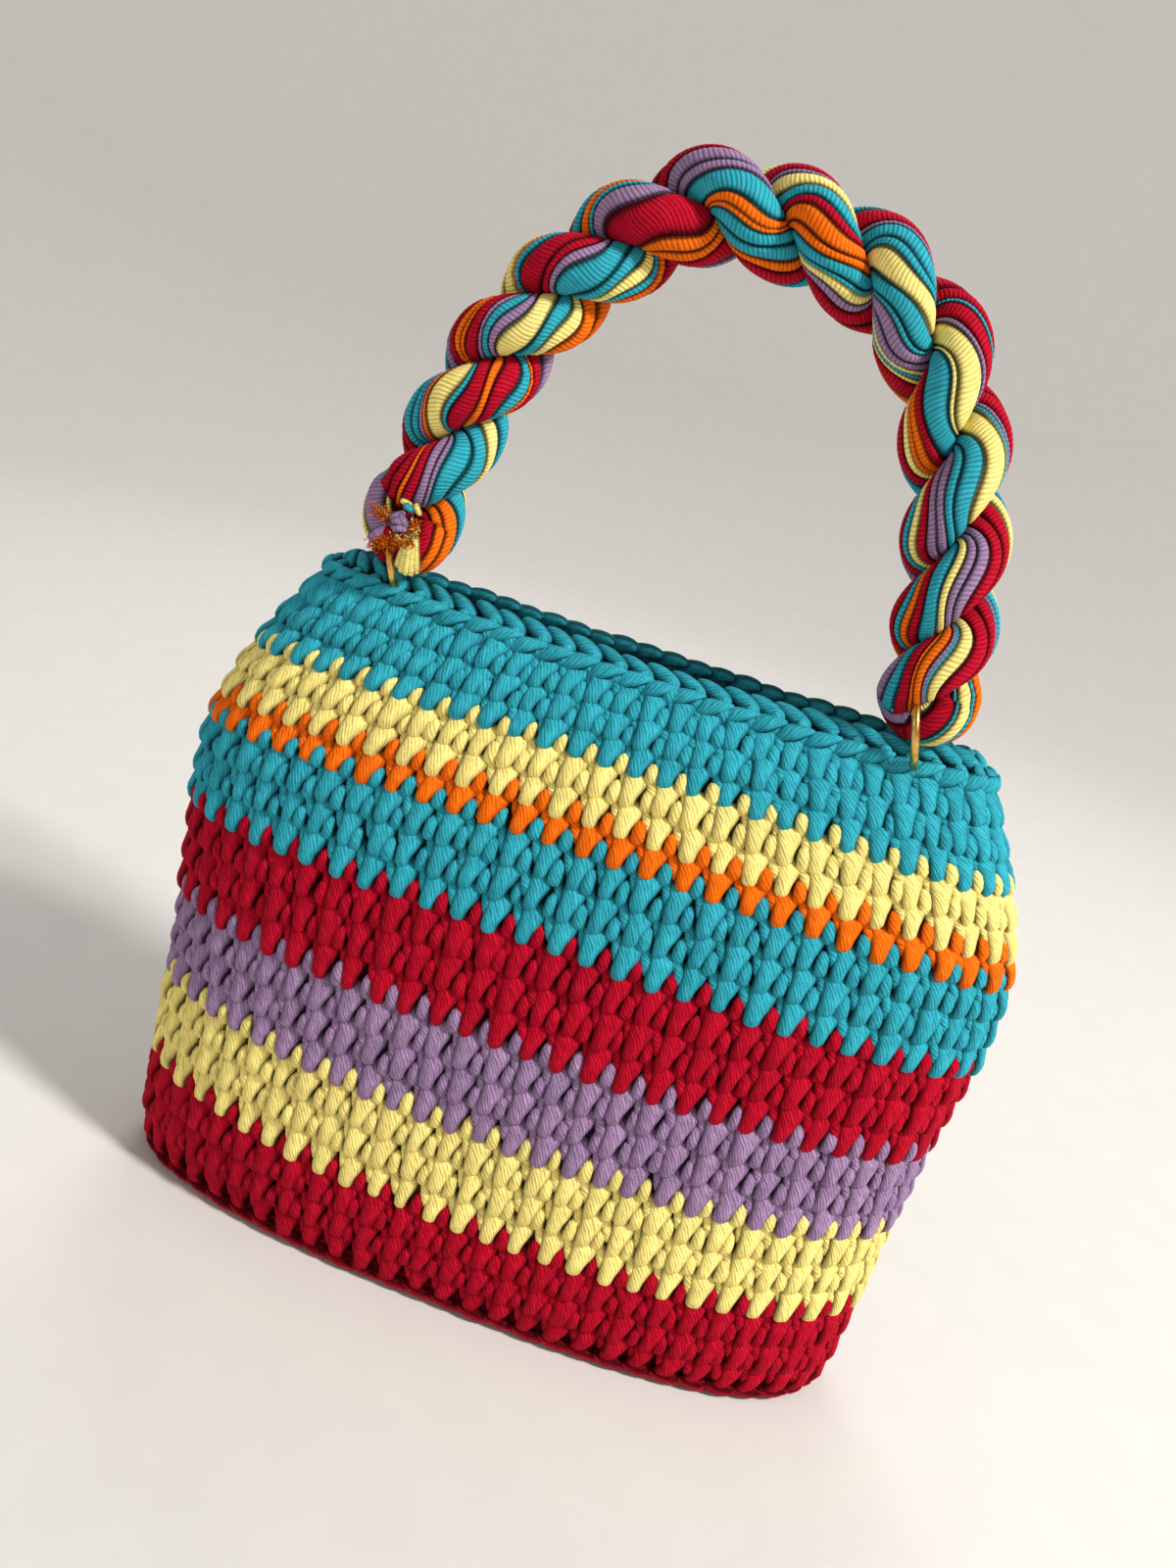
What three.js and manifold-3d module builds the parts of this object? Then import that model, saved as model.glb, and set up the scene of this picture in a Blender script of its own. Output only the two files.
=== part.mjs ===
// A crocheted handbag in thick jersey yarn: an oval tub of striped rounds with an open top,
// a chain edge, two small metal rings and an upright handle twisted from one folded bundle of yarn.
// Millimetres, +Z up. X runs along the bag's width, the front faces -Y, and the origin is the
// middle of the base, on the surface that the bag stands on.

import * as THREE from 'three';
import { mergeVertices } from 'three/addons/utils/BufferGeometryUtils.js';
import Module from 'manifold-3d';

// Sizes of the tub
const BAG_WIDTH = 285;
const BAG_DEPTH = 90;
const BAG_HEIGHT = 234;
const WALL = 9;
const BASE_THICKNESS = 8.7;
const OUTLINE_POWER = 2.5;
const ROW_GROOVE = 1.8;
const RIM_CHAIN_HEIGHT = 8;
const RIM_CHAIN_ROUNDING = 2.4;
const PIECE_GAP = 0.3;

// Sizes of the handle and its rings
const HANDLE_SPAN = 174;
const HANDLE_RISE = 131;
const HANDLE_SETBACK = 3;
const STRAND_DIAMETER = 15.6;
const STRAND_LAY_RADIUS = 8.6;
const STRAND_TURNS = 6.5;
const FOLD_DEPTH = 8;
const FOLD_SWAY = 3;
const FOLD_SQUEEZE = 0.86;
const END_JOINT_GAP = 0.6;
const RING_OUTER_DIAMETER = 27;
const RING_WIRE = 3;
const KNOT_SIZE = 13;
const KNOT_YARN = 5;

// How finely the round forms are divided
const OUTLINE_SIDES = 48;
const OUTLINE_SAMPLES = 4000;
const STRAND_SIDES = 9;
const STRAND_STEPS_PER_TURN = 13;
const FOLD_STEPS = 6;
const RING_SIDES = 6;
const RING_STEPS = 20;
const KNOT_SIDES = 7;
const KNOT_STEPS = 5;
const CURVE_SAMPLES = 3000;
const SLIVER_TOLERANCE = 0.02;

const COLOURS = {
  turquoise: 0x34aab9,
  yellow: 0xf5e68c,
  orange: 0xfa690f,
  red: 0xbe052d,
  lilac: 0xa082b4,
  brass: 0xc9a04e,
};

// The tub's outer form from base to rim: shares of BAG_HEIGHT, BAG_WIDTH and BAG_DEPTH
const SECTIONS = [
  { height: 0.000, width: 0.870, depth: 0.80 },
  { height: 0.012, width: 0.915, depth: 0.89 },
  { height: 0.035, width: 0.940, depth: 0.95 },
  { height: 0.081, width: 0.953, depth: 0.99 },
  { height: 0.147, width: 0.957, depth: 1.00 },
  { height: 0.295, width: 0.962, depth: 1.00 },
  { height: 0.447, width: 0.972, depth: 0.985 },
  { height: 0.605, width: 1.000, depth: 0.935 },
  { height: 0.691, width: 1.000, depth: 0.895 },
  { height: 0.742, width: 0.990, depth: 0.860 },
  { height: 0.803, width: 0.955, depth: 0.805 },
  { height: 0.865, width: 0.905, depth: 0.730 },
  { height: 0.923, width: 0.852, depth: 0.620 },
  { height: 0.970, width: 0.808, depth: 0.490 },
  { height: 1.000, width: 0.785, depth: 0.410 },
];

// The stripes from base to rim: crocheted rows, and the share of BAG_HEIGHT where each one ends
const STRIPES = [
  { name: 'stripe_red_lower', colour: 'red', rows: 2, top: 0.147 },
  { name: 'stripe_yellow_lower', colour: 'yellow', rows: 3, top: 0.296 },
  { name: 'stripe_lilac', colour: 'lilac', rows: 3, top: 0.445 },
  { name: 'stripe_red_upper', colour: 'red', rows: 3, top: 0.603 },
  { name: 'stripe_turquoise_middle', colour: 'turquoise', rows: 3, top: 0.743 },
  { name: 'stripe_orange', colour: 'orange', rows: 1, top: 0.782 },
  { name: 'stripe_yellow_upper', colour: 'yellow', rows: 2, top: 0.863 },
  { name: 'stripe_turquoise_top', colour: 'turquoise', rows: 3, top: 0.9658 },
];

// The handle's middle line from the left end to the right end:
// shares of half of HANDLE_SPAN, and of HANDLE_RISE above the strands' lower fold
const HANDLE_LINE = [
  { side: -1.000, rise: 0.000 },
  { side: -0.985, rise: 0.110 },
  { side: -0.925, rise: 0.280 },
  { side: -0.850, rise: 0.450 },
  { side: -0.745, rise: 0.605 },
  { side: -0.605, rise: 0.750 },
  { side: -0.425, rise: 0.890 },
  { side: -0.220, rise: 0.990 },
  { side: 0.010, rise: 1.000 },
  { side: 0.230, rise: 0.960 },
  { side: 0.435, rise: 0.870 },
  { side: 0.600, rise: 0.755 },
  { side: 0.725, rise: 0.610 },
  { side: 0.805, rise: 0.470 },
  { side: 0.865, rise: 0.325 },
  { side: 0.915, rise: 0.160 },
  { side: 0.960, rise: 0.000 },
];

// The sewn yarn ends on the left end of the handle: a direction in degrees and a share of KNOT_SIZE
const KNOT_TUFTS = [
  { turn: 20, reach: 0.55 },
  { turn: 100, reach: 0.70 },
  { turn: 165, reach: 0.50 },
  { turn: 235, reach: 0.60 },
  { turn: 310, reach: 0.65 },
];

const wasm = await Module();
wasm.setup();

function yarnMaterial(name) {
  return new THREE.MeshStandardMaterial({ color: COLOURS[name], roughness: 0.9, metalness: 0 });
}

function ringMaterial() {
  return new THREE.MeshStandardMaterial({ color: COLOURS.brass, roughness: 0.3, metalness: 1 });
}

// Half width and half depth of the tub's outer form at a height
function halfSizesAt(z) {
  const share = Math.min(Math.max(z / BAG_HEIGHT, 0), 1);
  let upper = 1;
  while (upper < SECTIONS.length - 1 && SECTIONS[upper].height < share) {
    upper += 1;
  }
  const low = SECTIONS[upper - 1];
  const high = SECTIONS[upper];
  const mix = (share - low.height) / (high.height - low.height);
  return {
    width: THREE.MathUtils.lerp(low.width, high.width, mix) * BAG_WIDTH / 2,
    depth: THREE.MathUtils.lerp(low.depth, high.depth, mix) * BAG_DEPTH / 2,
  };
}

// A point of a rounded oval, a superellipse, at an angle
function ovalPoint(halfWidth, halfDepth, angle) {
  const power = 2 / OUTLINE_POWER;
  const c = Math.cos(angle);
  const s = Math.sin(angle);
  return new THREE.Vector2(
    halfWidth * Math.sign(c) * Math.abs(c) ** power,
    halfDepth * Math.sign(s) * Math.abs(s) ** power,
  );
}

// Angles that divide the tub's widest oval into equal lengths
function equalArcAngles(count) {
  const lengths = [0];
  let last = ovalPoint(BAG_WIDTH / 2, BAG_DEPTH / 2, 0);
  for (let i = 1; i <= OUTLINE_SAMPLES; i += 1) {
    const point = ovalPoint(BAG_WIDTH / 2, BAG_DEPTH / 2, 2 * Math.PI * i / OUTLINE_SAMPLES);
    lengths.push(lengths[i - 1] + point.distanceTo(last));
    last = point;
  }
  const angles = [];
  let sample = 0;
  for (let i = 0; i < count; i += 1) {
    const wanted = lengths[OUTLINE_SAMPLES] * i / count;
    while (lengths[sample + 1] < wanted) {
      sample += 1;
    }
    const mix = (wanted - lengths[sample]) / (lengths[sample + 1] - lengths[sample]);
    angles.push(2 * Math.PI * (sample + mix) / OUTLINE_SAMPLES);
  }
  return angles;
}

const OUTLINE_ANGLES = equalArcAngles(OUTLINE_SIDES);

// One round of points on the tub's form at a height, drawn in by an inset
function outlineRound(z, inset) {
  const half = halfSizesAt(z);
  return OUTLINE_ANGLES.map((angle) => {
    const point = ovalPoint(half.width - inset, half.depth - inset, angle);
    return new THREE.Vector3(point.x, point.y, z);
  });
}

function geometryFrom(points, faces) {
  const geometry = new THREE.BufferGeometry();
  geometry.setAttribute('position', new THREE.Float32BufferAttribute(points.flatMap((p) => p.toArray()), 3));
  geometry.setIndex(faces);
  return geometry;
}

// Faces between one round of points and the next
function bandFaces(first, second, count) {
  const faces = [];
  for (let i = 0; i < count; i += 1) {
    const next = (i + 1) % count;
    faces.push(first + i, first + next, second + next);
    faces.push(first + i, second + next, second + i);
  }
  return faces;
}

// A ring-shaped wall: a closed profile of heights and insets carried round the oval,
// given up the outside and down the inside
function ringWall(profile) {
  const points = profile.flatMap((station) => outlineRound(station.z, station.inset));
  const faces = [];
  profile.forEach((_, i) => {
    const next = (i + 1) % profile.length;
    faces.push(...bandFaces(i * OUTLINE_SIDES, next * OUTLINE_SIDES, OUTLINE_SIDES));
  });
  return geometryFrom(points, faces);
}

// Closes a stack of rounds with a flat fan at each end
function cappedStack(rounds, startPoint, endPoint) {
  const sides = rounds[0].length;
  const points = [...rounds.flat(), startPoint, endPoint];
  const start = rounds.length * sides;
  const end = start + 1;
  const lastRound = (rounds.length - 1) * sides;
  const faces = [];
  for (let i = 0; i < rounds.length - 1; i += 1) {
    faces.push(...bandFaces(i * sides, (i + 1) * sides, sides));
  }
  for (let i = 0; i < sides; i += 1) {
    const next = (i + 1) % sides;
    faces.push(start, next, i);
    faces.push(end, lastRound + i, lastRound + next);
  }
  return geometryFrom(points, faces);
}

// A tube of changing radius along a curve, closed at both ends
function closedTube(curve, steps, sides, radiusAt) {
  const frames = curve.computeFrenetFrames(steps, false);
  const rounds = [];
  for (let i = 0; i <= steps; i += 1) {
    const middle = curve.getPointAt(i / steps);
    const radius = radiusAt(i / steps);
    const round = [];
    for (let j = 0; j < sides; j += 1) {
      const angle = 2 * Math.PI * j / sides;
      round.push(middle.clone()
        .addScaledVector(frames.normals[i], radius * Math.cos(angle))
        .addScaledVector(frames.binormals[i], radius * Math.sin(angle)));
    }
    rounds.push(round);
  }
  return cappedStack(rounds, curve.getPointAt(0), curve.getPointAt(1));
}

function toSolid(geometry) {
  const bare = geometry.clone();
  bare.deleteAttribute('normal');
  bare.deleteAttribute('uv');
  const merged = mergeVertices(bare, 1e-4);
  return new wasm.Manifold(new wasm.Mesh({
    numProp: 3,
    vertProperties: new Float32Array(merged.attributes.position.array),
    triVerts: new Uint32Array(merged.index.array),
  }));
}

// The triangles of a solid, without the slivers shorter than the tolerance that a cut can leave
function toGeometry(solid) {
  const mesh = solid.simplify(SLIVER_TOLERANCE).getMesh();
  const geometry = new THREE.BufferGeometry();
  geometry.setAttribute('position', new THREE.Float32BufferAttribute(mesh.vertProperties, 3));
  geometry.setIndex(Array.from(mesh.triVerts));
  return geometry;
}

function cutAway(geometry, cutters) {
  return toGeometry(cutters.reduce((solid, cutter) => solid.subtract(toSolid(cutter)), toSolid(geometry)));
}

function namedMesh(name, geometry, material) {
  geometry.computeVertexNormals();
  const mesh = new THREE.Mesh(geometry, material);
  mesh.name = name;
  return mesh;
}

// Y of the middle of the front wall's rim, where a ring at this x goes round it
function rimMiddleY(x) {
  const half = halfSizesAt(BAG_HEIGHT - RIM_CHAIN_HEIGHT / 2);
  const share = Math.abs(x) / (half.width - WALL / 2);
  return -(half.depth - WALL / 2) * (1 - share ** OUTLINE_POWER) ** (1 / OUTLINE_POWER);
}

// The flat crocheted base: the lowest slice of the tub's form
function basePanel() {
  const heights = SECTIONS.map((section) => section.height * BAG_HEIGHT).filter((z) => z < BASE_THICKNESS);
  const rounds = [...heights, BASE_THICKNESS].map((z) => outlineRound(z, 0));
  return cappedStack(rounds, new THREE.Vector3(0, 0, 0), new THREE.Vector3(0, 0, BASE_THICKNESS));
}

// One colour's rounds: the outside swells at the middle of each row and draws in between rows
function stripeWall(bottom, top, rows) {
  const profile = [];
  for (let level = 0; level <= 2 * rows; level += 1) {
    const crown = level % 2 === 1;
    profile.push({ z: bottom + (top - bottom) * level / (2 * rows), inset: crown ? 0 : ROW_GROOVE });
  }
  profile.push({ z: top, inset: WALL });
  profile.push({ z: bottom, inset: WALL });
  return ringWall(profile);
}

// The chain of loops that finishes the mouth, as a soft rounded edge
function rimEdge() {
  const bottom = BAG_HEIGHT - RIM_CHAIN_HEIGHT;
  const round = RIM_CHAIN_ROUNDING;
  return ringWall([
    { z: bottom, inset: round / 2 },
    { z: bottom + round, inset: 0 },
    { z: BAG_HEIGHT - round, inset: 0 },
    { z: BAG_HEIGHT, inset: round },
    { z: BAG_HEIGHT, inset: WALL - round },
    { z: BAG_HEIGHT - round, inset: WALL },
    { z: bottom, inset: WALL },
  ]);
}

// A metal ring standing in the plane of the bag's depth, round the rim and through the strands' fold
function ringGeometry(x, wire) {
  const loop = (RING_OUTER_DIAMETER - RING_WIRE) / 2;
  const geometry = new THREE.TorusGeometry(loop, wire / 2, RING_SIDES, RING_STEPS);
  geometry.rotateY(Math.PI / 2);
  geometry.translate(x, rimMiddleY(x), ringBottom() + loop);
  return geometry;
}

// The ring's lowest middle line lies just under the chain edge
function ringBottom() {
  return BAG_HEIGHT - RIM_CHAIN_HEIGHT;
}

function ringX(side) {
  const end = side < 0 ? HANDLE_LINE[0] : HANDLE_LINE[HANDLE_LINE.length - 1];
  return end.side * HANDLE_SPAN / 2;
}

function handleY() {
  return (rimMiddleY(ringX(-1)) + rimMiddleY(ringX(1))) / 2 + HANDLE_SETBACK;
}

// Height where the strands leave their fold: the folded strand lies just on the rim
function handleFootZ() {
  return BAG_HEIGHT + PIECE_GAP + FOLD_SQUEEZE * STRAND_DIAMETER / 2 + FOLD_DEPTH;
}

function handleMiddleLine() {
  const rise = HANDLE_RISE - (handleFootZ() - BAG_HEIGHT);
  const curve = new THREE.CatmullRomCurve3(HANDLE_LINE.map((point) => new THREE.Vector3(
    point.side * HANDLE_SPAN / 2,
    handleY(),
    handleFootZ() + point.rise * rise,
  )));
  curve.arcLengthDivisions = CURVE_SAMPLES;
  return curve;
}

// Points of one strand, laid right-handed round the middle line
function laidStrand(middleLine, startAngle) {
  const steps = Math.round(STRAND_TURNS * STRAND_STEPS_PER_TURN);
  const across = new THREE.Vector3(0, 1, 0);
  const points = [];
  for (let i = 0; i <= steps; i += 1) {
    const tangent = middleLine.getTangentAt(i / steps);
    const inward = new THREE.Vector3().crossVectors(across, tangent).normalize();
    const angle = startAngle + 2 * Math.PI * STRAND_TURNS * i / steps;
    points.push(middleLine.getPointAt(i / steps)
      .addScaledVector(inward, STRAND_LAY_RADIUS * Math.cos(angle))
      .addScaledVector(across, STRAND_LAY_RADIUS * Math.sin(angle)));
  }
  return points;
}

// Points of the half loop below the laid strands, from one share of its half circle to another.
// It sways towards the back and the front, as the lay of the strands leads into it.
function foldPoints(foot, fromTurn, toTurn) {
  const points = [];
  for (let i = 1; i < FOLD_STEPS; i += 1) {
    const angle = Math.PI * THREE.MathUtils.lerp(fromTurn, toTurn, i / FOLD_STEPS);
    points.push(new THREE.Vector3(
      foot.x + STRAND_LAY_RADIUS * Math.cos(angle),
      foot.y - FOLD_SWAY * Math.sin(2 * angle),
      foot.z - FOLD_DEPTH * Math.sin(angle),
    ));
  }
  return points;
}

// The whole bundle: from the sewn joint at the left end, over to the fold at the right end and back
function handleRope(extraRadius) {
  const middleLine = handleMiddleLine();
  const leftFoot = middleLine.getPointAt(0);
  const rightFoot = middleLine.getPointAt(1);
  const joint = (side) => new THREE.Vector3(
    leftFoot.x + side * END_JOINT_GAP / 2,
    leftFoot.y,
    leftFoot.z - FOLD_DEPTH,
  );
  const path = new THREE.CatmullRomCurve3([
    joint(1),
    ...foldPoints(leftFoot, 0.5, 0),
    ...laidStrand(middleLine, 0),
    ...foldPoints(rightFoot, 0, 1),
    ...laidStrand(middleLine, Math.PI).reverse(),
    ...foldPoints(leftFoot, 1, 0.5),
    joint(-1),
  ]);
  path.arcLengthDivisions = CURVE_SAMPLES;
  const steps = 2 * Math.round(STRAND_TURNS * STRAND_STEPS_PER_TURN + FOLD_STEPS);
  return closedTube(path, steps, STRAND_SIDES, (share) => {
    const height = path.getPointAt(share).z - (handleFootZ() - FOLD_DEPTH);
    const fullness = THREE.MathUtils.smoothstep(height, 0, STRAND_DIAMETER);
    return THREE.MathUtils.lerp(FOLD_SQUEEZE, 1, fullness) * STRAND_DIAMETER / 2 + extraRadius;
  });
}

// The sewn yarn ends: short tufts spreading from one point on the front of the left fold
function yarnKnot() {
  const heart = new THREE.Vector3(
    ringX(-1),
    handleY() - FOLD_SQUEEZE * STRAND_DIAMETER / 2 - KNOT_YARN / 4,
    handleFootZ() + KNOT_SIZE / 4,
  );
  const tufts = KNOT_TUFTS.map((tuft) => {
    const angle = THREE.MathUtils.degToRad(tuft.turn);
    const tip = new THREE.Vector3(Math.cos(angle), -0.25, Math.sin(angle)).multiplyScalar(tuft.reach * KNOT_SIZE);
    const curve = new THREE.LineCurve3(heart.clone().addScaledVector(tip, -0.2), heart.clone().add(tip));
    return closedTube(curve, KNOT_STEPS, KNOT_SIDES, (share) => KNOT_YARN * (0.34 + 0.2 * Math.sin(Math.PI * share)));
  });
  const joined = tufts.slice(1).reduce((solid, tuft) => solid.add(toSolid(tuft)), toSolid(tufts[0]));
  return cutAway(toGeometry(joined), [handleRope(PIECE_GAP), ringGeometry(ringX(-1), RING_WIRE + 2 * PIECE_GAP)]);
}

const bag = new THREE.Group();
const ringRoom = [-1, 1].map((side) => ringGeometry(ringX(side), RING_WIRE + 2 * PIECE_GAP));

bag.add(namedMesh('base_panel', basePanel(), yarnMaterial('red')));

let stripeBottom = BASE_THICKNESS;
STRIPES.forEach((stripe, i) => {
  const top = stripe.top * BAG_HEIGHT;
  const wall = stripeWall(stripeBottom + PIECE_GAP, top, stripe.rows);
  const carriesRings = i === STRIPES.length - 1;
  bag.add(namedMesh(stripe.name, carriesRings ? cutAway(wall, ringRoom) : wall, yarnMaterial(stripe.colour)));
  stripeBottom = top;
});

bag.add(namedMesh('rim_chain', cutAway(rimEdge(), ringRoom), yarnMaterial('turquoise')));
bag.add(namedMesh('ring_left', ringGeometry(ringX(-1), RING_WIRE), ringMaterial()));
bag.add(namedMesh('ring_right', ringGeometry(ringX(1), RING_WIRE), ringMaterial()));
bag.add(namedMesh('handle_rope', cutAway(handleRope(0), ringRoom), yarnMaterial('turquoise')));
bag.add(namedMesh('yarn_knot', yarnKnot(), yarnMaterial('lilac')));

export default bag;
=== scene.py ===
import math

import bpy
import numpy as np
from mathutils import Matrix, Vector


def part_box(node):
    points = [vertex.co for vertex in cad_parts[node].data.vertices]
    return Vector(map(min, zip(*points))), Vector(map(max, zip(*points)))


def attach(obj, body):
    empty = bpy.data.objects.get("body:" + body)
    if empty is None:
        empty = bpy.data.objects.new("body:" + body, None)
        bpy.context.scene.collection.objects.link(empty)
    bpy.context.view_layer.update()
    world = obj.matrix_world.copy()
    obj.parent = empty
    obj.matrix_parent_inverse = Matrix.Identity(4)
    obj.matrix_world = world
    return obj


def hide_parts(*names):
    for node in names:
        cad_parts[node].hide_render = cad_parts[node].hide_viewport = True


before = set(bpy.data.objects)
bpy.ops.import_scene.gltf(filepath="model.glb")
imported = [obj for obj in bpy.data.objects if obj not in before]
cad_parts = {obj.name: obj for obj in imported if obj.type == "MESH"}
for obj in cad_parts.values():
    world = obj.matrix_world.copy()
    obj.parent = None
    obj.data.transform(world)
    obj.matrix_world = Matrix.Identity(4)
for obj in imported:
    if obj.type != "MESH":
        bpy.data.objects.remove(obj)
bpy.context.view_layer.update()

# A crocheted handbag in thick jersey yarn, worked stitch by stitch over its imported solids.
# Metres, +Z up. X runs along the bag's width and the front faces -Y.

random = np.random.default_rng(7)

# The camera, fitted to the photograph: where it aims, and how it is turned
AIM = Vector((-0.0091, 0.0, 0.1847))
CAMERA_AZIMUTH = math.radians(6.34)
CAMERA_ELEVATION = math.radians(17.29)
CAMERA_ROLL = math.radians(16.98)
CAMERA_DISTANCE = 0.42444
CAMERA_LENS = 29.25
CAMERA_SENSOR = 36
CAMERA_NEAREST = 0.01

# The tub's outer form, as in the solids
BAG_WIDTH = 0.285
BAG_DEPTH = 0.090
BAG_HEIGHT = 0.234
OUTLINE_POWER = 2.5
OVAL_STATIONS = 4001
# Half distances over which a direction on the tub is measured: a share of a turn, and metres
TURN_STEP = 0.002
HEIGHT_STEP = 0.003
SECTION_HEIGHTS = BAG_HEIGHT * np.array(
    [0, .012, .035, .081, .147, .295, .447, .605, .691, .742, .803, .865, .923, .970, 1])
SECTION_WIDTHS = BAG_WIDTH / 2 * np.array(
    [.870, .915, .940, .953, .957, .962, .972, 1, 1, .990, .955, .905, .852, .808, .785])
SECTION_DEPTHS = BAG_DEPTH / 2 * np.array(
    [.80, .89, .95, .99, 1, 1, .985, .935, .895, .860, .805, .730, .620, .490, .410])

# Crochet: stitches in a round, rows, and the stripes: name, colour, first row and number of rows
STITCHES = 60
ROWS = 21
PITCH = 0.0108
FABRIC_MIDDLE = 0.0054
STRIPES = [
    ("stripe_red_lower", "red", 0, 3),
    ("stripe_yellow_lower", "yellow", 3, 3),
    ("stripe_lilac", "lilac", 6, 3),
    ("stripe_red_upper", "red", 9, 3),
    ("stripe_turquoise_middle", "turquoise", 12, 3),
    ("stripe_orange", "orange", 15, 1),
    ("stripe_yellow_upper", "yellow", 16, 2),
    ("stripe_turquoise_top", "turquoise", 18, 3),
]
# Heights of the rows at the bag's middle, and what its two ends add
ROW_EDGES = np.array([0, 3, 6, 9, 12, 15, 16, 18, 21, 22])
ROW_HEIGHTS = np.array([.0020, .0344, .0693, .1041, .1411, .1739, .1830, .2019, .2260, .2340])
ROW_BEND = np.array([0, .0064, .0041, -.0005, -.0048, -.0063, -.0060, -.0047, .0008, .0018])
# How far the stitches of a row have moved round, in stitches
COLUMN_ROWS = np.array([0, 3, 6, 9, 12, 15, 18, 21])
COLUMN_SHIFTS = np.array([.86, .73, .57, .20, .03, -.07, -.30, -.50])

# Colours of the yarns, as sRGB values from 0 to 255
COLOURS = {
    "turquoise": (44, 154, 172),
    "yellow": (242, 219, 128),
    "orange": (240, 104, 8),
    "red": (168, 0, 32),
    "lilac": (144, 116, 152),
}


# Curves and the tub's form

def unit(vectors):
    """The vectors at length 1."""
    return vectors / np.linalg.norm(vectors, axis=-1, keepdims=True)


def oval_table():
    """Turns, as shares of the widest oval's length, and its unit x and y there."""
    angles = np.linspace(0, 2 * np.pi, OVAL_STATIONS)
    power = 2 / OUTLINE_POWER
    x = np.sign(np.cos(angles)) * np.abs(np.cos(angles)) ** power
    y = np.sign(np.sin(angles)) * np.abs(np.sin(angles)) ** power
    steps = np.hypot(np.diff(x) * BAG_WIDTH, np.diff(y) * BAG_DEPTH)
    lengths = np.concatenate([[0], np.cumsum(steps)])
    return lengths / lengths[-1], x, y


TURNS, OVAL_X, OVAL_Y = oval_table()


def oval(turn):
    """Unit x and y of the tub's outline after a share of a turn."""
    return np.interp(turn % 1.0, TURNS, OVAL_X), np.interp(turn % 1.0, TURNS, OVAL_Y)


def tub_point(turn, z):
    """Points of the tub's outer form."""
    x, y = oval(turn)
    half_width = np.interp(z, SECTION_HEIGHTS, SECTION_WIDTHS)
    half_depth = np.interp(z, SECTION_HEIGHTS, SECTION_DEPTHS)
    return np.stack([x * half_width, y * half_depth, z], axis=-1)


def tub_frame(turn, z):
    """Points of the tub's form and the outward normals there."""
    along = tub_point(turn + TURN_STEP, z) - tub_point(turn - TURN_STEP, z)
    up = tub_point(turn, z + HEIGHT_STEP) - tub_point(turn, z - HEIGHT_STEP)
    return tub_point(turn, z), unit(np.cross(along, up))


def row_height(row, turn):
    """Height of a row's place: the rounds bend a little towards the bag's two ends."""
    x = oval(turn)[0]
    return np.interp(row, ROW_EDGES, ROW_HEIGHTS) + np.interp(row, ROW_EDGES, ROW_BEND) * x ** 2


def fabric(u, row, w):
    """Crochet coordinates to space: u in stitches, row in rows, w in pitches out of the fabric."""
    turn = u / STITCHES
    points, normals = tub_frame(turn, row_height(row, turn))
    return points + normals * (w * PITCH - FABRIC_MIDDLE)[..., None], normals


def spline_weights(stations, samples):
    """Catmull-Rom weights that turn values at even stations into values at samples from 0 to 1."""
    x = samples * (stations - 1)
    first = np.clip(np.floor(x).astype(int), 0, stations - 2)
    f = x - first
    weights = np.zeros((len(samples), stations))
    terms = [
        (-1, 0.5 * (2 * f ** 2 - f - f ** 3)),
        (0, 0.5 * (2 - 5 * f ** 2 + 3 * f ** 3)),
        (1, 0.5 * (f + 4 * f ** 2 - 3 * f ** 3)),
        (2, 0.5 * (f ** 3 - f ** 2)),
    ]
    for step, value in terms:
        np.add.at(weights, (np.arange(len(samples)), np.clip(first + step, 0, stations - 1)), value)
    return weights


# Meshes

# How far out the pointed tips of a tube count as standing for the painted shade, where its top counts
# as 1
TIP_PAINTED_SHADE_LIFT = 0.2


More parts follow.
